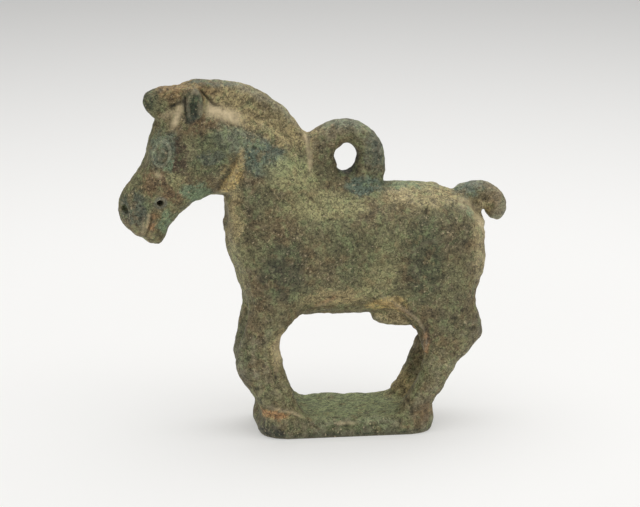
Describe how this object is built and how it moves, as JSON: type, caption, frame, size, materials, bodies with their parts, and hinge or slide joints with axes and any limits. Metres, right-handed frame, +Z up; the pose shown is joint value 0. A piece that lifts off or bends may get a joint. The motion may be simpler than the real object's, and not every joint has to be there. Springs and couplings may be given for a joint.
{
  "type": "standing horse figurine",
  "caption": "Small cast bronze horse standing on a rounded plinth, with a clipped arched mane, a short curled tail and a suspension loop on its back",
  "frame": {"origin": "the middle of the plinth's flat underside, which rests on the table", "axes": "+Z up; the horse faces -X and its tail is towards +X; +Y is the horse's own right side, so the pictured left side faces -Y"},
  "size_m": [0.064, 0.0174, 0.0593],
  "materials": {
    "patinated_bronze": "cast copper alloy under a matt, mottled patina of olive green, grey green and brown, with pale cream encrustation along the mane and ledges, a rust-orange stain at one forefoot and fine corrosion pits all over"
  },
  "bodies": {
    "root": {"horse_on_plinth": "patinated_bronze"}
  },
  "joints": []
}
